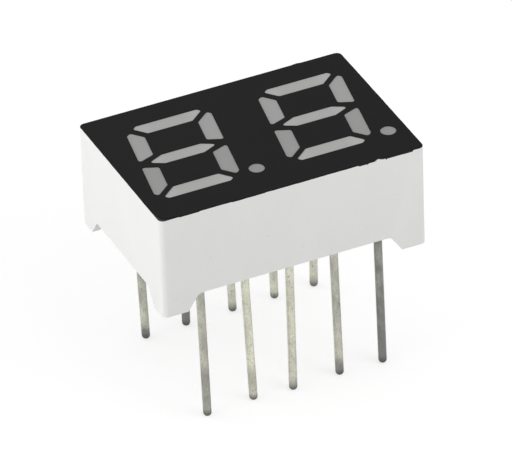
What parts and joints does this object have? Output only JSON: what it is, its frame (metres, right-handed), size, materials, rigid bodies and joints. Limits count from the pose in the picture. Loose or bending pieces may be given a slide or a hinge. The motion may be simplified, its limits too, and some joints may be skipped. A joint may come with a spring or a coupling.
{
  "type": "seven segment display",
  "caption": "Seven segment display with slanted digits and decimal points in a dark printed face, a white moulded reflector housing on corner feet, and rows of round wire pins.",
  "frame": {"origin": "on the plane of the pin tips, under the middle of the housing", "axes": "+X along the row of digits to the right, +Y towards the tops of the digits, +Z out of the face"},
  "size_m": [0.015, 0.0102, 0.0134],
  "materials": {
    "housing_plastic": "smooth white moulded polycarbonate, faintly satin",
    "face_ink": "screen printed dark ink, matt to satin",
    "epoxy": "diffused grey casting epoxy, smooth",
    "board": "glass fibre laminate under green mask",
    "copper": "etched copper foil and plated holes",
    "chip": "semiconductor chip, smooth cut sides",
    "gold_wire": "bright drawn wire",
    "tinned_wire": "dull hot tinned steel wire, faintly grainy",
    "solder": "dull solder"
  },
  "bodies": {
    "root": {"housing": "housing_plastic", "face_print": "face_ink", "epoxy_fill": "epoxy", "circuit_board": "board", "front_copper": "copper", "back_copper": "copper", "chip_1a": "chip", "chip_1b": "chip", "chip_1c": "chip", "chip_1d": "chip", "chip_1e": "chip", "chip_1f": "chip", "chip_1g": "chip", "chip_1dot": "chip", "chip_2a": "chip", "chip_2b": "chip", "chip_2c": "chip", "chip_2d": "chip", "chip_2e": "chip", "chip_2f": "chip", "chip_2g": "chip", "chip_2dot": "chip", "bond_wire_1a": "gold_wire", "bond_wire_1b": "gold_wire", "bond_wire_1c": "gold_wire", "bond_wire_1d": "gold_wire", "bond_wire_1e": "gold_wire", "bond_wire_1f": "gold_wire", "bond_wire_1g": "gold_wire", "bond_wire_1dot": "gold_wire", "bond_wire_2a": "gold_wire", "bond_wire_2b": "gold_wire", "bond_wire_2c": "gold_wire", "bond_wire_2d": "gold_wire", "bond_wire_2e": "gold_wire", "bond_wire_2f": "gold_wire", "bond_wire_2g": "gold_wire", "bond_wire_2dot": "gold_wire", "pin_1": "tinned_wire", "pin_2": "tinned_wire", "pin_3": "tinned_wire", "pin_4": "tinned_wire", "pin_5": "tinned_wire", "pin_6": "tinned_wire", "pin_7": "tinned_wire", "pin_8": "tinned_wire", "pin_9": "tinned_wire", "pin_10": "tinned_wire", "solder_1": "solder", "solder_2": "solder", "solder_3": "solder", "solder_4": "solder", "solder_5": "solder", "solder_6": "solder", "solder_7": "solder", "solder_8": "solder", "solder_9": "solder", "solder_10": "solder"}
  },
  "joints": []
}
